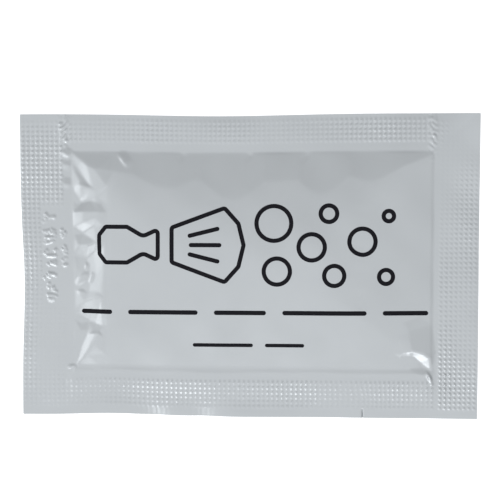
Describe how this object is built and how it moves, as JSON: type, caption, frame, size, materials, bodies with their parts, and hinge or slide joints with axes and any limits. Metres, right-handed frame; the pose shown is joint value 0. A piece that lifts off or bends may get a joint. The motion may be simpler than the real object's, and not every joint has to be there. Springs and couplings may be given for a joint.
{
  "type": "single-dose cream sachet",
  "caption": "Flat rectangular sachet heat-sealed on all four sides round a pillow of shaving cream, with a tear nick and an end that tears off.",
  "frame": {"origin": "centre of the sachet's outline, on the surface that its back rests on", "axes": "+X along the print from left to right, +Y up the print, +Z out of the printed front"},
  "size_m": [0.076, 0.0504, 0.0038],
  "materials": {
    "outer_film": "satin silver-grey polyester film, cold and slightly glossy",
    "foil": "bright rolled foil",
    "sealant": "milky polyethylene film over the foil",
    "ink": "black ink, satin",
    "cream": "smooth white cream with a soft wet sheen"
  },
  "bodies": {
    "pouch": {"front_outer_film": "outer_film", "front_foil": "foil", "front_sealant": "sealant", "front_print": "ink", "back_outer_film": "outer_film", "back_foil": "foil", "back_sealant": "sealant", "cream_dose": "cream"},
    "tear_end": {"end_front_outer_film": "outer_film", "end_front_foil": "foil", "end_front_sealant": "sealant", "end_print": "ink", "end_back_outer_film": "outer_film", "end_back_foil": "foil", "end_back_sealant": "sealant", "end_cream": "cream"}
  },
  "joints": [
    {"name": "tear_off", "type": "slide", "parent": "pouch", "child": "tear_end", "axis": [1, 0, 0], "range_m": [0, 0.03]}
  ]
}
